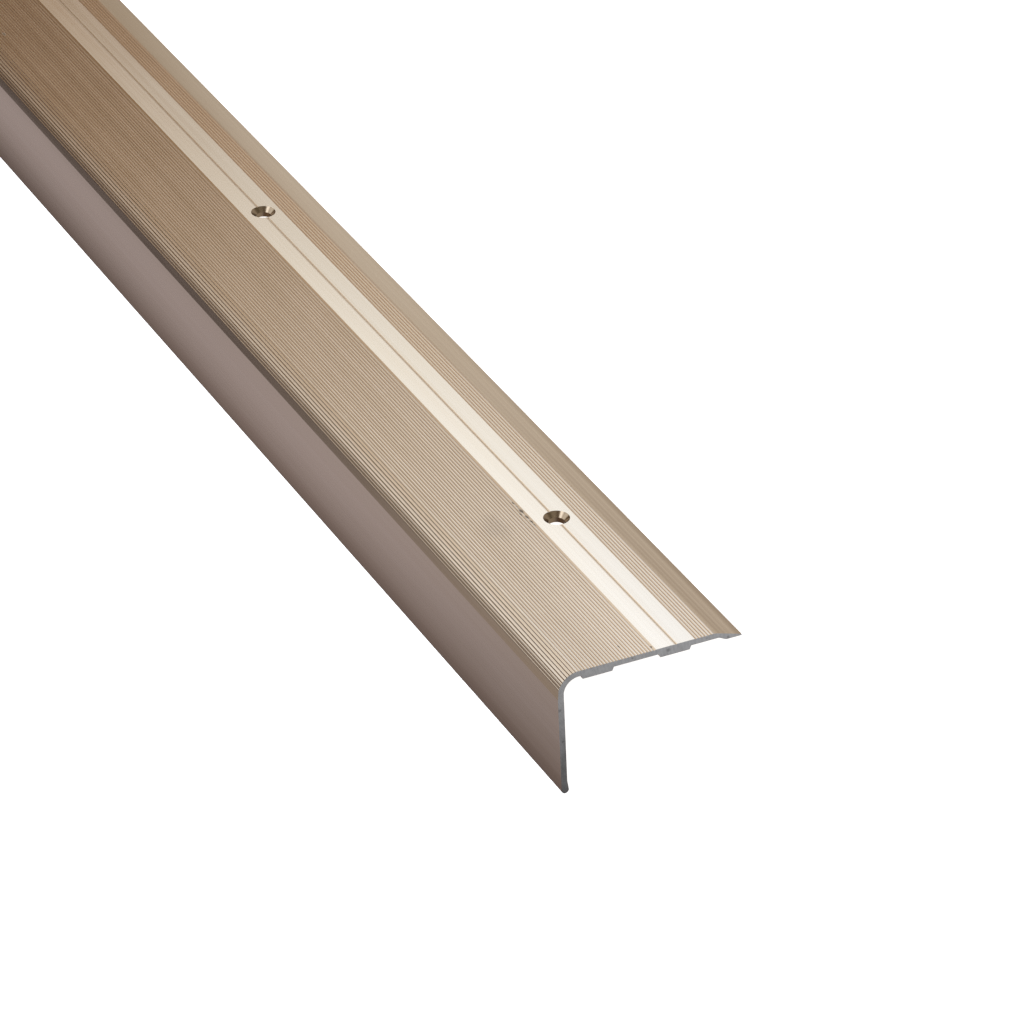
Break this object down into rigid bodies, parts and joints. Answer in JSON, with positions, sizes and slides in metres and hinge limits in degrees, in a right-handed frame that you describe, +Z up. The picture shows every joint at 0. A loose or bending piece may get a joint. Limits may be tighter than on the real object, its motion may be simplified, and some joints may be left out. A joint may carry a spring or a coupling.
{
  "type": "stair nosing",
  "caption": "Angled stair nosing in extruded aluminium with a ribbed nose and tread, a smooth band with countersunk screw holes, a tapered back edge and a plain riser leg.",
  "frame": {"origin": "middle of the bounding box on the floor that the piece lies on, riser foot and back edge down", "axes": "+Y along the length, away from the cut end seen in the picture; +X from the riser side to the back edge; +Z up"},
  "size_m": [0.0686, 1, 0.0329],
  "materials": {
    "champagne_anodised": "satin champagne anodised"
  },
  "bodies": {
    "root": {"nosing_profile": "champagne_anodised"}
  },
  "joints": []
}
